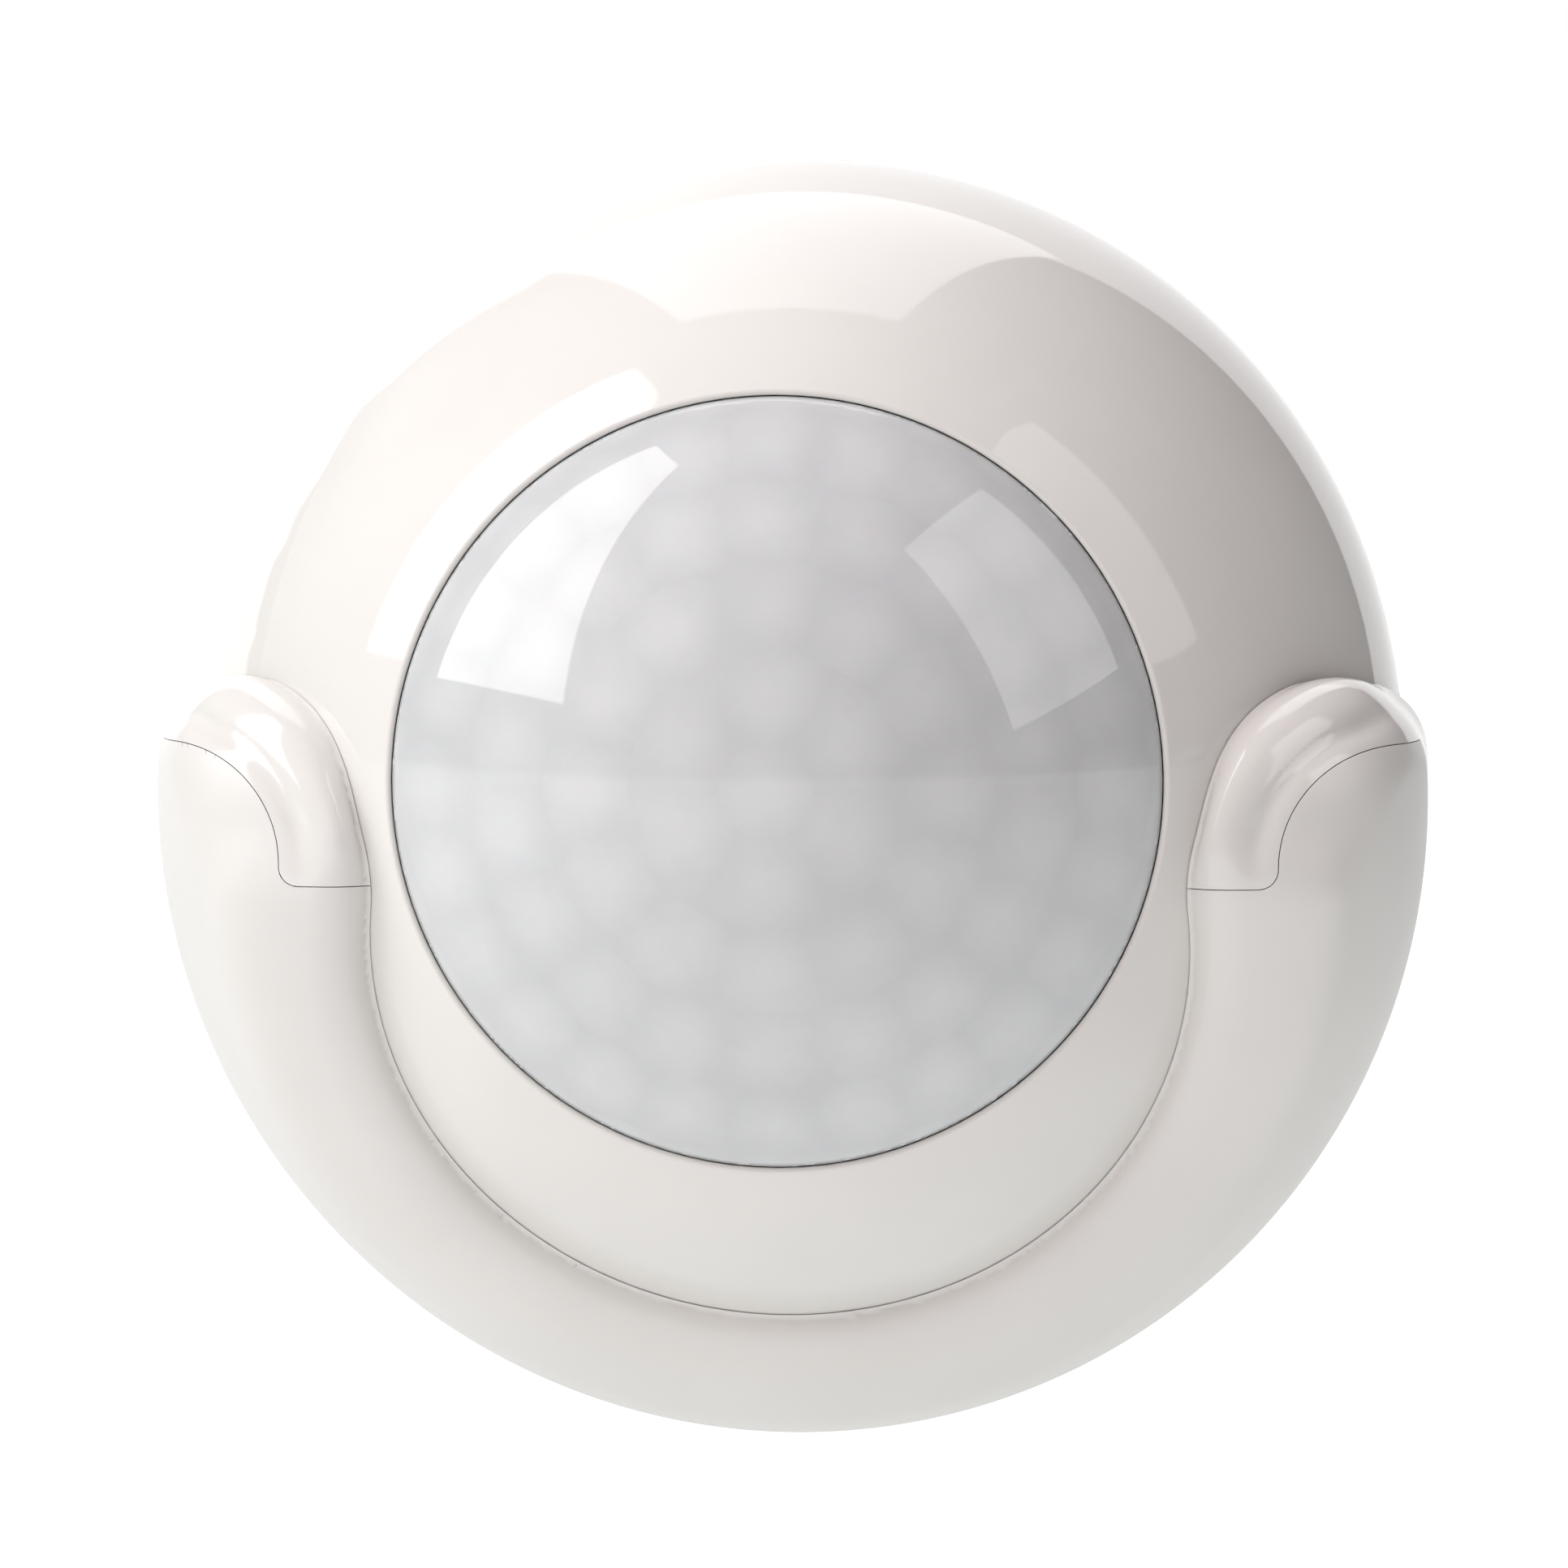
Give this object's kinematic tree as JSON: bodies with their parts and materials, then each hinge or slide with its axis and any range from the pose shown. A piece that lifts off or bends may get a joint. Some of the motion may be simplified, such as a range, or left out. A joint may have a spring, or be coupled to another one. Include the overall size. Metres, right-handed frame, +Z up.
{
  "type": "motion sensor",
  "caption": "Round battery infrared motion sensor: a ball-shaped head with a domed lens, tilting in a crescent cradle that twists onto a small wall plate.",
  "frame": {"origin": "middle of the wall plate's back face, where its foam pad meets the wall", "axes": "+Y into the wall, -Y towards the room (the lens faces -Y), +Z up, +X to the viewer's right"},
  "size_m": [0.0642, 0.0706, 0.0649],
  "materials": {
    "head_gloss": "high-gloss warm white moulded shell",
    "yoke_gloss": "glossy warm white",
    "cover_satin": "fine satin texture, warm white",
    "plate_satin": "satin warm white",
    "lens_milky": "milky polyethylene, soft gloss",
    "button_grey": "light grey satin",
    "inner_white": "plain moulded white",
    "screw_steel": "zinc-plated",
    "pin_steel": "ground steel",
    "contact_nickel": "nickel-plated spring steel",
    "can_nickel": "nickel-plated can",
    "board_green": "green solder mask",
    "module_black": "black solder mask",
    "chip_black": "black moulded package",
    "filter_dark": "dark infrared filter",
    "led_clear": "clear diffused tip",
    "capacitor_can": "sleeved aluminium can",
    "cell_sleeve": "plain printed sleeve, no text",
    "bush_acetal": "natural acetal",
    "washer_rubber": "soft black rubber",
    "pad_foam": "grey adhesive foam"
  },
  "bodies": {
    "wall": {"wall_plate": "plate_satin", "adhesive_pad": "pad_foam"},
    "cradle": {"cradle_yoke": "yoke_gloss", "cradle_cover": "cover_satin", "pivot_pin_left": "pin_steel", "pivot_pin_right": "pin_steel"},
    "head": {"front_shell": "head_gloss", "rear_shell": "head_gloss", "fresnel_lens": "lens_milky", "battery_tray": "inner_white", "battery_cell": "cell_sleeve", "friction_washer_left": "washer_rubber", "friction_washer_right": "washer_rubber", "lens_retainer": "inner_white", "shell_screws": "screw_steel", "board_screws": "screw_steel", "main_board": "board_green", "pir_collar": "inner_white", "pir_sensor": "can_nickel", "pir_window": "filter_dark", "status_led": "led_clear", "light_sensor": "filter_dark", "capacitor": "capacitor_can", "control_chip": "chip_black", "wifi_module": "module_black", "wifi_shield": "can_nickel", "pairing_switch": "chip_black", "contact_negative": "contact_nickel", "contact_positive": "contact_nickel", "contact_spring": "contact_nickel", "bush_left": "bush_acetal", "bush_right": "bush_acetal"},
    "door": {"battery_door": "head_gloss"},
    "button": {"pairing_button": "button_grey"}
  },
  "joints": [
    {"name": "cradle_twist", "type": "hinge", "parent": "wall", "child": "cradle", "pos_m": [0, -0.006, 0], "axis": [0, -1, 0], "range_deg": [0, 35]},
    {"name": "head_tilt", "type": "hinge", "parent": "cradle", "child": "head", "pos_m": [0, -0.038, 0.018], "axis": [1, 0, 0], "range_deg": [-40, 20]},
    {"name": "door_twist", "type": "hinge", "parent": "head", "child": "door", "pos_m": [0, -0.014, 0.018], "axis": [0, 1, 0], "range_deg": [0, 33]},
    {"name": "pairing_press", "type": "slide", "parent": "head", "child": "button", "axis": [0, 0, -1], "range_m": [0, 0.0004], "stiffness_N_per_m": 2500, "springref_m": -0.0003}
  ]
}
